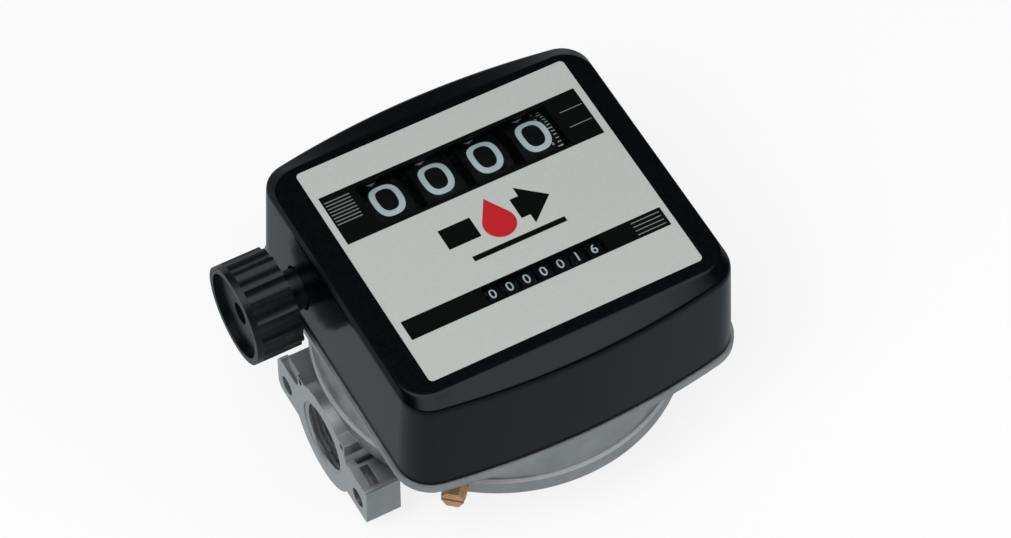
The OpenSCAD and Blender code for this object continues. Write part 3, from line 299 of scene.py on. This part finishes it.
def cutConvex(shape, faces, corners, away):
    # cuts the faces along a convex outline, drawn anticlockwise as seen from away, and returns those inside
    for i, corner in enumerate(corners):
        edge = Vector(corners[(i + 1) % len(corners)]) - Vector(corner)
        outside = edge.cross(away).normalized()
        live = [f for f in faces if f.is_valid]
        # a dictionary, not a set, so that the parts come in the same order each run
        parts = dict.fromkeys(live + [e for f in live for e in f.edges] + [v for f in live for v in f.verts])
        cut = bmesh.ops.bisect_plane(shape, geom=list(parts), dist=1e-7, plane_co=corner, plane_no=outside)
        faces = [f for f in cut["geom"] if isinstance(f, bmesh.types.BMFace)
                 and (f.calc_center_median() - Vector(corner)).dot(outside) < 0]
    return faces


def openHole(shape, faces, depth):
    # takes the faces away and draws the wall of the hole in by depth
    inside = set(faces)
    border = [e for f in faces for e in f.edges if not all(g in inside for g in e.link_faces)]
    ends = {v.co.copy().freeze() for e in border for v in e.verts}
    bmesh.ops.delete(shape, geom=faces, context="FACES")
    rim = [e for e in shape.edges if e.is_boundary and all(v.co.copy().freeze() in ends for v in e.verts)]
    grown = bmesh.ops.extrude_edge_only(shape, edges=rim)
    bmesh.ops.translate(shape, vec=depth, verts=[v for v in grown["geom"] if isinstance(v, bmesh.types.BMVert)])


# Gloss black cover of the counter head: bowed front and back, sloping bands to the face, soft edges throughout.
# Lengths are in mm. A turn is where an edge starts to round, and a hold is a loop just before it that keeps the
# band flat. The plate's recess and the windows are x, y, width and height, and the knob's hole is y, z and
# radius
cover = {"foot": 75.5, "top": 127.0, "wall": 3.0, "halfX": 77.6, "halfY": 78.2, "corner": 16, "bow": 361,
         "draft": 2.3, "shoulderCorner": 13, "slope": 3.2, "slopeWide": 12, "faceEdge": 1.4, "faceBow": 7000,
         "cornerSteps": 12, "bowSteps": 14, "slopeSteps": 7, "edgeSteps": 4,
         "sideTurn": 2.2, "slopeTurn": 0.16, "edgeTurn": 0.12, "edgeIn": 0.7, "capIn": 0.01,
         "footHold": 0.01, "sideHold": 1.2, "slopeHold": 1.15, "edgeHold": 1.3, "sharpFrom": 30,
         "plate": (1.2, 1.4, 126.04, 118.04), "plateCorner": 2.02, "plateDeep": 0.6,
         "windows": [(1.55, 31.8, 89, 23), (5.1, -30.8, 55, 8.6)], "windowCorner": 1,
         "hole": (31, 93.5, 10), "holeSides": 36, "holeReach": 25, "holeFacing": 0.98}


def bowedLoop(halfX, halfY, corner, bow, z):
    # a closed loop with round corners, straight left and right sides, and a bowed front and back
    centre = halfY - bow
    cx = halfX - corner
    cy = centre + math.sqrt((bow - corner) ** 2 - cx * cx)
    turn = math.atan2(cy - centre, cx)
    quarter = []
    for i in range(cover["cornerSteps"] + 1):
        angle = turn * i / cover["cornerSteps"]
        quarter.append((cx + corner * math.cos(angle), cy + corner * math.sin(angle)))
    for i in range(1, cover["bowSteps"]):
        angle = turn + (math.pi / 2 - turn) * i / cover["bowSteps"]
        quarter.append((bow * math.cos(angle), centre + bow * math.sin(angle)))
    half = quarter + [(0, halfY)] + [(-x, y) for x, y in reversed(quarter)]
    return [Vector((x, y, z)) * mm for x, y in half + [(-x, -y) for x, y in half]]


def mixLoops(a, b, share):
    return [p.lerp(q, share) for p, q in zip(a, b)]


def curvedLoops(a, b, c, steps):
    # rounds the corner at b between the loops a and c
    return [mixLoops(mixLoops(a, b, i / steps), mixLoops(b, c, i / steps), i / steps) for i in range(steps + 1)]


def addLoops(shape, loops):
    # bridges each loop to the next, and returns their edges
    rings = []
    for loop in loops:
        verts = [shape.verts.new(p) for p in loop]
        rings.append([shape.edges.new((verts[i - 1], verts[i])) for i in range(len(verts))])
    for lower, upper in zip(rings, rings[1:]):
        bmesh.ops.bridge_loops(shape, edges=lower + upper)
    return rings


def registerCover():
    top, wall, bow, edgeIn = cover["top"], cover["wall"], cover["bow"], cover["edgeIn"]
    shoulderX, shoulderY = cover["halfX"] - cover["draft"], cover["halfY"] - cover["draft"]
    shoulderZ, shoulderCorner = top - cover["slope"], cover["shoulderCorner"]
    faceX, faceY = shoulderX - cover["faceEdge"], shoulderY - cover["slopeWide"]
    foot = bowedLoop(cover["halfX"], cover["halfY"], cover["corner"], bow, cover["foot"])
    shoulder = bowedLoop(shoulderX, shoulderY, shoulderCorner, bow, shoulderZ)
    flat = bowedLoop(faceX, faceY, shoulderCorner, cover["faceBow"], top)
    inner = bowedLoop(faceX - edgeIn, faceY - edgeIn, shoulderCorner - edgeIn, cover["faceBow"], top)
    sideTurn = cover["sideTurn"] / (shoulderZ - cover["foot"])
    slopeTurn, edgeTurn = cover["slopeTurn"], cover["edgeTurn"]
    loops = [foot, mixLoops(foot, shoulder, cover["footHold"]),
             mixLoops(foot, shoulder, 1 - cover["sideHold"] * sideTurn)]
    loops += curvedLoops(mixLoops(foot, shoulder, 1 - sideTurn), shoulder, mixLoops(shoulder, flat, slopeTurn),
                         cover["slopeSteps"])
    loops += [mixLoops(shoulder, flat, cover["slopeHold"] * slopeTurn),
              mixLoops(shoulder, flat, 1 - cover["edgeHold"] * edgeTurn)]
    loops += curvedLoops(mixLoops(shoulder, flat, 1 - edgeTurn), flat, inner, cover["edgeSteps"])
    loops.append(mixLoops(inner, [Vector((0, 0, inner[0].z))] * len(inner), cover["capIn"]))
    shape = bmesh.new()
    rings = addLoops(shape, loops)
    cap = bmesh.ops.contextual_create(shape, geom=rings[-1])["faces"]
    bmesh.ops.recalc_face_normals(shape, faces=shape.faces)
    # a shallow recess for the face plate, and the windows in its floor
    x, y, width, height = cover["plate"]
    recess = cutConvex(shape, cap, oblong(x, y, top, width, height, cover["plateCorner"]), up)
    openHole(shape, recess, Vector((0, 0, -cover["plateDeep"] * mm)))
    floorZ = top - cover["plateDeep"]
    rim = [e for e in shape.edges
           if e.is_boundary and all(abs(v.co.z - floorZ * mm) < touching for v in e.verts)]
    bmesh.ops.contextual_create(shape, geom=rim)
    for x, y, width, height in cover["windows"]:
        level = [f for f in shape.faces
                 if abs(f.calc_center_median().z - floorZ * mm) < touching and abs(f.normal.z) > flatness]
        window = cutConvex(shape, level, oblong(x, y, floorZ, width, height, cover["windowCorner"]), up)
        openHole(shape, window, Vector((0, 0, (cover["plateDeep"] - wall) * mm)))
    # the hole for the knob's shaft, in the left side
    y, z, radius = cover["hole"]
    side = [f for f in shape.faces if f.normal.x < -cover["holeFacing"]
            and abs(f.calc_center_median().z / mm - z) < cover["holeReach"]]
    angles = [2 * math.pi * k / cover["holeSides"] for k in range(cover["holeSides"])]
    circle = [(-cover["halfX"] * mm, mm * (y - radius * math.cos(angle)), mm * (z + radius * math.sin(angle)))
              for angle in angles]
    openHole(shape, cutConvex(shape, side, circle, Vector((-1, 0, 0))), Vector((wall * mm, 0, 0)))
    # the inside of the side walls
    inside = [bowedLoop(cover["halfX"] - wall, cover["halfY"] - wall, cover["corner"] - wall, bow - wall,
                        cover["foot"]),
              bowedLoop(shoulderX - wall, shoulderY - wall, shoulderCorner - wall, bow - wall,
                        shoulderZ - wall)]
    innerRings = addLoops(shape, inside)
    bmesh.ops.reverse_faces(shape, faces=[f for e in innerRings[0] for f in e.link_faces])
    piece = makePiece("registerCover", shape, gloss, "base")
    smooth(piece, cover["sharpFrom"])
    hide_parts("register_cover")


registerCover()
print("cover made")


# Face plate: grey green ink with two black bands, plain rules at their ends, and a flow arrow with a red drop.
# Each oblong is x, y, width and height in mm
plateArt = {"top": 127.0, "outerEdge": 54, "wallFrom": 0.5,
            "bands": [(1.0, 31.7, 120, 26.6), (1.55, -31, 120.1, 10)],
            "greyRules": [(-52.3, 29.2 + 1.75 * k, 11.6, 0.5) for k in range(8)]
                         + [(54.9, 36.2, 10.4, 0.4), (54.9, 27.6, 10.4, 0.4)]
                         + [(53.6, -34.2 + 2.1 * k, 13.2, 0.45) for k in range(4)],
            "bars": [(-16.6, 1.5, 14.8, 10.6), (11.6, 1.5, 4.2, 10.6), (3.8, -12.6, 43, 2.6)],
            "head": [(13.6, -8.6), (25.4, 1.5), (13.6, 11.6)],
            "drop": {"x": 0.4, "y": -1.6, "radius": 7.2, "tip": 14, "steps": 22}}


def facePlate():
    shape = bmesh.new()
    shape.from_mesh(nodes["face_plate"].data)
    bmesh.ops.dissolve_limit(shape, angle_limit=0.01, verts=shape.verts, edges=shape.edges)
    top = plateArt["top"]
    black, grey, red = 1, 2, 3  # places in the piece's list of materials, after the ink of the face

    def ink(corners, index):
        for f in cutConvex(shape, [f for f in shape.faces if f.normal.z > flatness], corners, up):
            f.material_index = index

    for group, index in (("bands", black), ("greyRules", grey), ("bars", black)):
        for x, y, width, height in plateArt[group]:
            ink(oblong(x, y, top, width, height), index)
    drop = plateArt["drop"]
    radius = drop["radius"]
    flank = math.acos(radius / drop["tip"])
    outline = [(drop["x"], drop["y"] + drop["tip"])]
    for k in range(drop["steps"] + 1):
        angle = math.pi / 2 + flank + (2 * math.pi - 2 * flank) * k / drop["steps"]
        outline.append((drop["x"] + radius * math.cos(angle), drop["y"] + radius * math.sin(angle)))
    for corners, index in ((plateArt["head"], black), (outline, red)):
        ink([(x * mm, y * mm, top * mm) for x, y in corners], index)
    # the walls of the two openings are black, and the outer edge isn't
    edge = plateArt["outerEdge"] * mm
    for f in shape.faces:
        middle = f.calc_center_median()
        if abs(f.normal.z) < plateArt["wallFrom"] and abs(middle.x) < edge and abs(middle.y) < edge:
            f.material_index = black
    piece = makePiece("facePlate", shape, faceInk, "base")
    for extra in (blackInk, greyInk, redInk):
        piece.data.materials.append(extra)
    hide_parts("face_plate")


facePlate()
print("face printed")


# Parallel pipe thread in both ports, in mm: its crests point to the axis, it starts before the mouth, which
# cuts it off, and a countersink there takes the crests of the first turns down
thread = {"mouthX": 84.3, "z": 28, "pitch": 2.309, "outer": 16.6, "inner": 15.2, "crest": 0.5, "turns": 7.1,
          "steps": 40, "start": -1.6, "countersink": 1.0, "shortest": 0.01, "sharpFrom": 40}


def threadPiece(name, side):
    mouth, z, pitch, crest = thread["mouthX"], thread["z"], thread["pitch"], thread["crest"]
    outer, inner = thread["outer"], thread["inner"]
    first = thread["start"] - mouth
    profile = [(first, outer), (first + (pitch - crest) / 2, inner), (first + (pitch + crest) / 2, inner),
               (first + pitch, outer)]
    shape = bmesh.new()
    verts = [shape.verts.new((x * mm, radius * mm, z * mm)) for x, radius in profile]
    edges = [shape.edges.new(pair) for pair in zip(verts, verts[1:])]
    bmesh.ops.spin(shape, geom=verts + edges, cent=(0, 0, z * mm), axis=(1, 0, 0),
                   dvec=(pitch * mm / thread["steps"], 0, 0), angle=2 * math.pi * thread["turns"],
                   steps=int(thread["turns"] * thread["steps"]), use_duplicate=False)
    for v in shape.verts:
        v.co.x = max(v.co.x, -mouth * mm)
        least = outer * mm - (v.co.x + mouth * mm) * thread["countersink"]
        height = v.co.z - z * mm
        radius = math.hypot(v.co.y, height)
        if radius < least:
            v.co.y *= least / radius
            v.co.z = z * mm + height * least / radius
        v.co.x *= side
    bmesh.ops.dissolve_degenerate(shape, dist=thread["shortest"] * mm, edges=shape.edges)
    bmesh.ops.recalc_face_normals(shape, faces=shape.faces)
    # the thread is an open strip, so its faces are turned to the axis by one in its middle
    middle = shape.faces[len(shape.faces) // 2]
    centre = middle.calc_center_median()
    if middle.normal.dot(Vector((0, centre.y, centre.z - z * mm))) > 0:
        bmesh.ops.reverse_faces(shape, faces=shape.faces)
    piece = makePiece(name, shape, machined, "base")
    smooth(piece, thread["sharpFrom"])
    reach = [v.co.x / mm for v in piece.data.vertices]
    print(name, "from", round(min(reach), 2), "to", round(max(reach), 2))


threadPiece("inletThread", 1)
threadPiece("outletThread", -1)


# Printed figures on the rims of the number wheels, ten to a wheel, in mm: x is each wheel's middle, from the
# units on, first the degrees by which a figure stands off the top, and step the length of a facet round the rim
figureTurn = 36
tripFigures = {"x": [35.3, 12.4, -10.5, -33.4], "shown": [0, 0, 0, 0], "radius": 31.03,
               "high": 17.4, "wide": 1.2, "first": 3.7, "step": 2.5, "bold": 0.004,
               "zero": {"wide": 13.3, "high": 17.2, "stroke": 2.55, "squareness": 2.6, "segments": 72}}
totalFigures = {"x": [28.59 - 7.83 * i for i in range(7)], "shown": [6, 1, 0, 0, 0, 0, 0], "radius": 9.52,
                "high": 4.6, "wide": 1.0, "first": 0, "step": 0.8, "bold": 0.005}


def writing(text, heightMm, widen, bold):
    # a figure as a flat mesh, centred on the origin, its height along Y, in metres
    curve = bpy.data.curves.new("figure", "FONT")
    curve.body = text
    curve.resolution_u = 4  # steps in each bend
    curve.offset = bold
    holder = bpy.data.objects.new("figure", curve)
    mesh = bpy.data.meshes.new_from_object(holder)
    bpy.data.objects.remove(holder)
    bpy.data.curves.remove(curve)
    shape = bmesh.new()
    shape.from_mesh(mesh)
    bpy.data.meshes.remove(mesh)
    bmesh.ops.remove_doubles(shape, verts=shape.verts, dist=1e-5)
    low = Vector([min(v.co[i] for v in shape.verts) for i in range(3)])
    high = Vector([max(v.co[i] for v in shape.verts) for i in range(3)])
    size = heightMm * mm / (high.y - low.y)
    bmesh.ops.translate(shape, verts=shape.verts, vec=-(low + high) / 2)
    bmesh.ops.scale(shape, verts=shape.verts, vec=(size * widen, size, 1))
    return shape


def squareZero(zero):
    # the figure 0 as a flat ring of even width between two squarish ovals
    shape = bmesh.new()
    for inset in (0, zero["stroke"]):
        for v in bmesh.ops.create_circle(shape, segments=zero["segments"], radius=1)["verts"]:
            for i, size in enumerate((zero["wide"], zero["high"])):
                reach = abs(v.co[i]) ** (2 / zero["squareness"])
                v.co[i] = math.copysign(reach * (size / 2 - inset) * mm, v.co[i])
    bmesh.ops.bridge_loops(shape, edges=shape.edges)
    shape.normal_update()
    shape.faces.ensure_lookup_table()
    if shape.faces[0].normal.z < 0:
        bmesh.ops.reverse_faces(shape, faces=shape.faces)
    return shape


def wrapOn(shape, target, xMm, radiusMm, turn, stepMm):
    # bends a flat shape round the wheel, its Y along the rim, and adds it to the target
    x, radius, step = xMm * mm, radiusMm * mm, stepMm * mm
    reach = max(abs(v.co.y) for v in shape.verts)
    cut = step - reach
    while cut < reach:
        bmesh.ops.bisect_plane(shape, geom=shape.verts[:] + shape.edges[:] + shape.faces[:],
                               plane_co=(0, cut, 0), plane_no=(0, 1, 0))
        cut += step
    for v in shape.verts:
        angle = turn + v.co.y / radius
        v.co = Vector((x + v.co.x, radius * math.sin(angle), radius * math.cos(angle)))
    mesh = bpy.data.meshes.new("wrapped")
    shape.to_mesh(mesh)
    shape.free()
    target.from_mesh(mesh)
    bpy.data.meshes.remove(mesh)


def printOn(wheel, name, shape):
    # moves what was wrapped round the origin to the wheel's axle, as a piece that turns with the wheel
    low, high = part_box(wheel)
    bmesh.ops.translate(shape, verts=shape.verts, vec=(0, (low.y + high.y) / 2, (low.z + high.z) / 2))
    makePiece(name, shape, figureInk, wheel)


def figuresOn(prefix, sizes):
    for i, (x, shown) in enumerate(zip(sizes["x"], sizes["shown"])):
        shape = bmesh.new()
        for k in range(10):
            turn = math.radians(sizes["first"] - figureTurn * (k - shown))
            if k == 0 and "zero" in sizes:
                figure = squareZero(sizes["zero"])
            else:
                figure = writing(str(k), sizes["high"], sizes["wide"], sizes["bold"])
            wrapOn(figure, shape, x, sizes["radius"], turn, sizes["step"])
        printOn("%s_wheel_%d" % (prefix, i + 1), "%sFigures%d" % (prefix, i + 1), shape)


figuresOn("trip", tripFigures)
figuresOn("total", totalFigures)
print("figures on the wheels")


# Scale on the right edge of the units wheel, in mm: a tick for each tenth of a litre, longer at each half, and
# a plain number at every other tick between the figures
unitScale = {"rightX": 44.2, "radius": 31.02, "thick": 0.38, "short": 1.5, "long": 2.4, "numberX": 40.4,
             "numberHigh": 1.5, "ticks": 100, "longEvery": 5, "numberEvery": 2, "step": 2}


def scaleOnUnits():
    radius, step = unitScale["radius"], unitScale["step"]
    shape = bmesh.new()
    for k in range(unitScale["ticks"]):
        turn = math.radians(tripFigures["first"] - 360 / unitScale["ticks"] * k)
        length = unitScale["short"] if k % unitScale["longEvery"] else unitScale["long"]
        tick = bmesh.new()
        bmesh.ops.create_grid(tick, x_segments=1, y_segments=1, size=0.5 * mm)
        bmesh.ops.scale(tick, verts=tick.verts, vec=(length, unitScale["thick"], 1))
        wrapOn(tick, shape, unitScale["rightX"] - length / 2, radius, turn, step)
        if k % unitScale["numberEvery"] == 0 and k % 10:
            number = writing(str(k % 10), unitScale["numberHigh"], 1, 0.0)
            wrapOn(number, shape, unitScale["numberX"], radius, turn, step)
    printOn("trip_wheel_1", "unitScale", shape)


scaleOnUnits()
print("scale on the units wheel")


# Studio: a pale floor, even light from all round and two soft lamps. The floor's glow and its two further colours,
# and the seen level of the sky, are met only by the eye, in gloss and through glass, so they add no light to the
# object. The horizon and the soft box are a first and last rise of the view, and the light at each
studio = {"floorWide": 4.0, "floor": "#f2f2f2", "floorRough": 0.8, "floorGlow": 0.8,
          "floorSeen": "#ffffff", "floorInGloss": "#8b9397", "sky": "#ffffff", "skyLight": 0.55, "skySeen": 1.0,
          "horizon": (0.0, 0.4, 0.7, 0.05), "softBox": (0.86, 0.94, 0.0, 1.9), "aim": (0, 0, 0.08),
          "lamps": {"keyLamp": {"place": (-0.5, -0.35, 0.9), "size": 0.5, "power": 6},
                    "fillLamp": {"place": (0.7, -0.6, 0.6), "size": 0.6, "power": 3}}}


def raysSeen(tree, kinds):
    # the kinds of ray, and an output that is one for these kinds
    rays = addNode(tree, "ShaderNodeLightPath").outputs
    seen = rays[kinds[0]]
    for kind in kinds[1:]:
        seen = addNode(tree, "ShaderNodeMath", {0: seen, 1: rays[kind]}, operation="MAXIMUM").outputs[0]
    return rays, seen


def studioFloor():
    material, tree = newMaterial("studioFloor")
    rays, seen = raysSeen(tree, ("Is Camera Ray", "Is Glossy Ray"))
    paper = addNode(tree, "ShaderNodeBsdfPrincipled", {"Base Color": studio["floor"],
                                                       "Roughness": studio["floorRough"]}).outputs[0]
    share = addNode(tree, "ShaderNodeMath", {0: seen, 1: studio["floorGlow"]}, operation="MULTIPLY").outputs[0]
    # white to the eye, and a cool mid grey in reflections
    shown = addNode(tree, "ShaderNodeMix", {0: rays["Is Glossy Ray"], 6: studio["floorSeen"],
                                            7: studio["floorInGloss"]}, data_type="RGBA").outputs[2]
    glow = addNode(tree, "ShaderNodeEmission", {"Color": shown, "Strength": 1.0}).outputs[0]
    shader = addNode(tree, "ShaderNodeMixShader", {0: share, 1: paper, 2: glow}).outputs[0]
    addNode(tree, "ShaderNodeOutputMaterial", {"Surface": shader})
    shape = bmesh.new()
    bmesh.ops.create_grid(shape, x_segments=1, y_segments=1, size=studio["floorWide"] / 2)
    addObject("floor", shape, material)


def studioWorld():
    world = bpy.data.worlds.new("studio")
    bpy.context.scene.world = world
    world.use_nodes = True
    tree = world.node_tree
    tree.nodes.clear()
    rays, seen = raysSeen(tree, ("Is Camera Ray", "Is Glossy Ray", "Is Transmission Ray"))
    aim = addNode(tree, "ShaderNodeTexCoord").outputs["Generated"]
    rise = addNode(tree, "ShaderNodeSeparateXYZ", {0: aim}).outputs["Z"]
    # in gloss, the studio is bright round the horizon, dim above it, and has a soft box straight overhead
    light, dim, box = [addNode(tree, "ShaderNodeMapRange", {
        "Value": value, "From Min": low, "From Max": high, "To Min": first, "To Max": last}).outputs["Result"]
        for value, (low, high, first, last) in ((seen, (0.0, 1.0, studio["skyLight"], studio["skySeen"])),
                                                (rise, studio["horizon"]), (rise, studio["softBox"]))]
    overhead = addNode(tree, "ShaderNodeMath", {0: dim, 1: box}, operation="ADD").outputs[0]
    inGloss = addNode(tree, "ShaderNodeMix", {0: rays["Is Glossy Ray"], 2: 1.0, 3: overhead}).outputs[0]
    level = addNode(tree, "ShaderNodeMath", {0: light, 1: inGloss}, operation="MULTIPLY").outputs[0]
    sky = addNode(tree, "ShaderNodeBackground", {"Color": studio["sky"], "Strength": level}).outputs[0]
    addNode(tree, "ShaderNodeOutputWorld", {"Surface": sky})


def addLamp(name, lamp):
    light = bpy.data.lights.new(name, "AREA")
    light.shape = "RECTANGLE"
    light.size = light.size_y = lamp["size"]
    light.energy = lamp["power"]
    holder = bpy.data.objects.new(name, light)
    holder.location = lamp["place"]
    holder.visible_glossy = False
    holder.rotation_mode = "QUATERNION"
    holder.rotation_quaternion = (Vector(lamp["place"]) - Vector(studio["aim"])).to_track_quat("Z", "Y")
    bpy.context.scene.collection.objects.link(holder)


studioFloor()
studioWorld()
for name, lamp in studio["lamps"].items():
    addLamp(name, lamp)
print("floor, world and lamps placed")


# Camera, fitted to the photograph: degrees round and up, metres back from the middle of the face, and a small move
# sideways and up
shot = {"azimuth": -28.806, "elevation": 54.103, "distance": 1.839369, "across": 0.003508, "up": -0.019816,
        "originZ": 0.127, "lens": 160.24, "sensor": 36}


def placeCamera():
    turn, tilt = math.radians(shot["azimuth"]), math.radians(shot["elevation"])
    back = Vector((math.sin(turn) * math.cos(tilt), -math.cos(turn) * math.cos(tilt), math.sin(tilt)))
    across = up.cross(back).normalized()
    above = back.cross(across)
    lens = bpy.data.cameras.new("camera")
    lens.lens = shot["lens"]
    lens.sensor_width = shot["sensor"]
    camera = bpy.data.objects.new("camera", lens)
    bpy.context.scene.collection.objects.link(camera)
    camera.rotation_mode = "QUATERNION"
    camera.rotation_quaternion = Matrix((across, above, back)).transposed().to_quaternion()
    camera.location = (back * shot["distance"] + across * shot["across"] + above * shot["up"]
                       + Vector((0, 0, shot["originZ"])))
    bpy.context.scene.camera = camera


placeCamera()
bpy.context.scene.view_settings.view_transform = "Standard"
print("camera placed")
